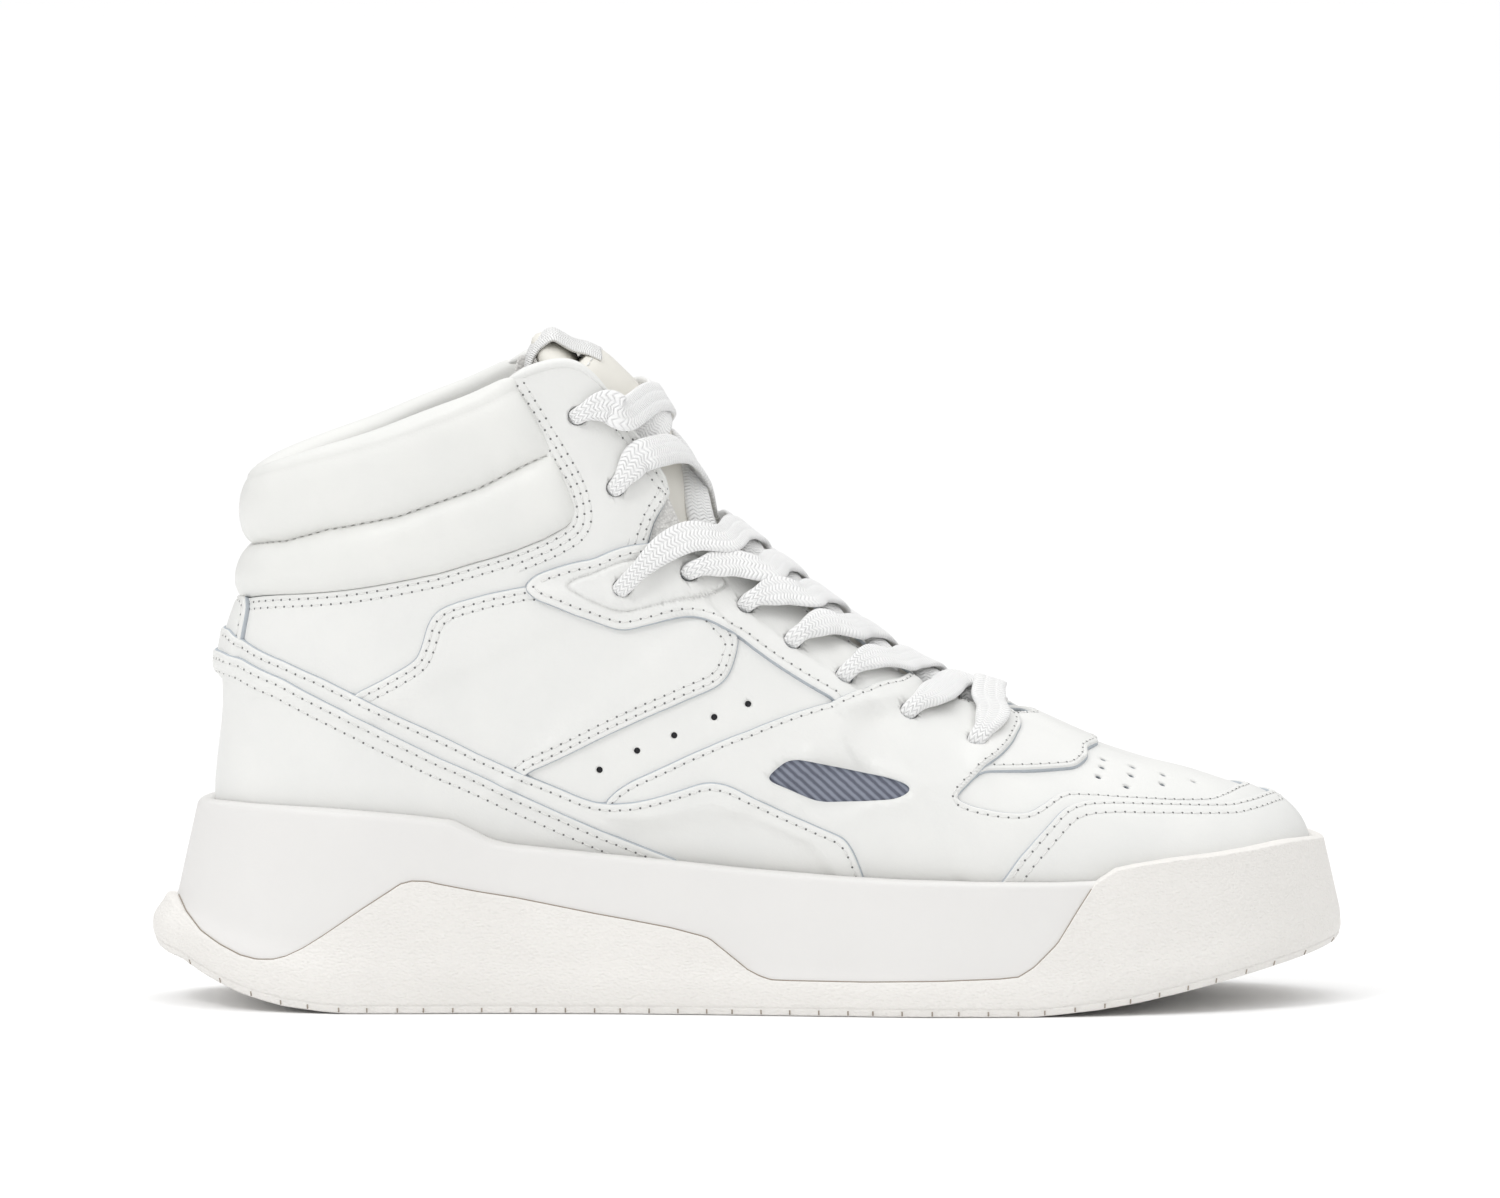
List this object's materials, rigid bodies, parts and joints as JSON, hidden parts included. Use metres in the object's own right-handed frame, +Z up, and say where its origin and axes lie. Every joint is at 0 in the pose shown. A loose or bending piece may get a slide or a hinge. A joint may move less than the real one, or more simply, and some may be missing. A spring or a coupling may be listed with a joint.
{
  "type": "basketball high top shoe",
  "caption": "Right-foot leather basketball high top with a cup sole, layered panels, a two-roll padded collar, mesh windows, a padded tongue and a flat lace.",
  "frame": {"origin": "middle of the box at ground level", "axes": "+X to the toe, +Y to the inner (medial) side, +Z up"},
  "size_m": [0.3055, 0.1131, 0.1743],
  "materials": {
    "upper_leather": "smooth full-grain leather, off-white, matte",
    "collar_leather": "soft nappa leather over foam, off-white",
    "tongue_leather": "soft leather, cream",
    "midsole_foam": "moulded cup sidewall, off-white, fine grain",
    "sole_rubber": "textured rubber, warm off-white",
    "board": "pressed fibre board",
    "lining_textile": "knitted textile lining",
    "padding_foam": "soft open-cell foam",
    "window_mesh": "woven mesh with diagonal ribs, grey",
    "webbing": "woven webbing, off-white",
    "lace_fabric": "flat braided lace, white",
    "aglet_plastic": "clear-white plastic lace tip"
  },
  "bodies": {
    "upper_and_sole": {"outsole": "sole_rubber", "midsole": "midsole_foam", "cushion_core": "midsole_foam", "strobel_board": "board", "vamp_lining": "lining_textile", "quarter_lining_lateral": "lining_textile", "quarter_lining_medial": "lining_textile", "heel_lining": "lining_textile", "heel_counter": "board", "toe_puff": "board", "collar_foam": "padding_foam", "collar_pad_upper": "collar_leather", "collar_pad_lower": "collar_leather", "collar_binding": "collar_leather", "vamp": "upper_leather", "throat_bar": "upper_leather", "side_underlay_lateral": "upper_leather", "side_underlay_medial": "upper_leather", "window_mesh_lateral": "window_mesh", "window_mesh_medial": "window_mesh", "forefoot_overlay": "upper_leather", "toe_guard": "upper_leather", "mid_panel_lateral": "upper_leather", "mid_panel_medial": "upper_leather", "ankle_panel_lateral": "upper_leather", "ankle_panel_medial": "upper_leather", "eyestay_lateral": "upper_leather", "eyestay_medial": "upper_leather", "foxing_lateral": "upper_leather", "foxing_medial": "upper_leather", "heel_cover": "upper_leather", "back_stay": "upper_leather", "lace": "lace_fabric", "aglets": "aglet_plastic"},
    "tongue": {"tongue_face": "tongue_leather", "tongue_foam": "padding_foam", "tongue_lining": "lining_textile", "tongue_tab": "webbing"},
    "insole": {"sockliner": "lining_textile"}
  },
  "joints": [
    {"name": "tongue_fold", "type": "hinge", "parent": "upper_and_sole", "child": "tongue", "pos_m": [0.075, 0, 0.066], "axis": [0, 1, 0], "range_deg": [-6, 0]},
    {"name": "insole_lift", "type": "hinge", "parent": "upper_and_sole", "child": "insole", "pos_m": [0.134, 0, 0.0297], "axis": [0, 1, 0], "range_deg": [0, 5]}
  ]
}
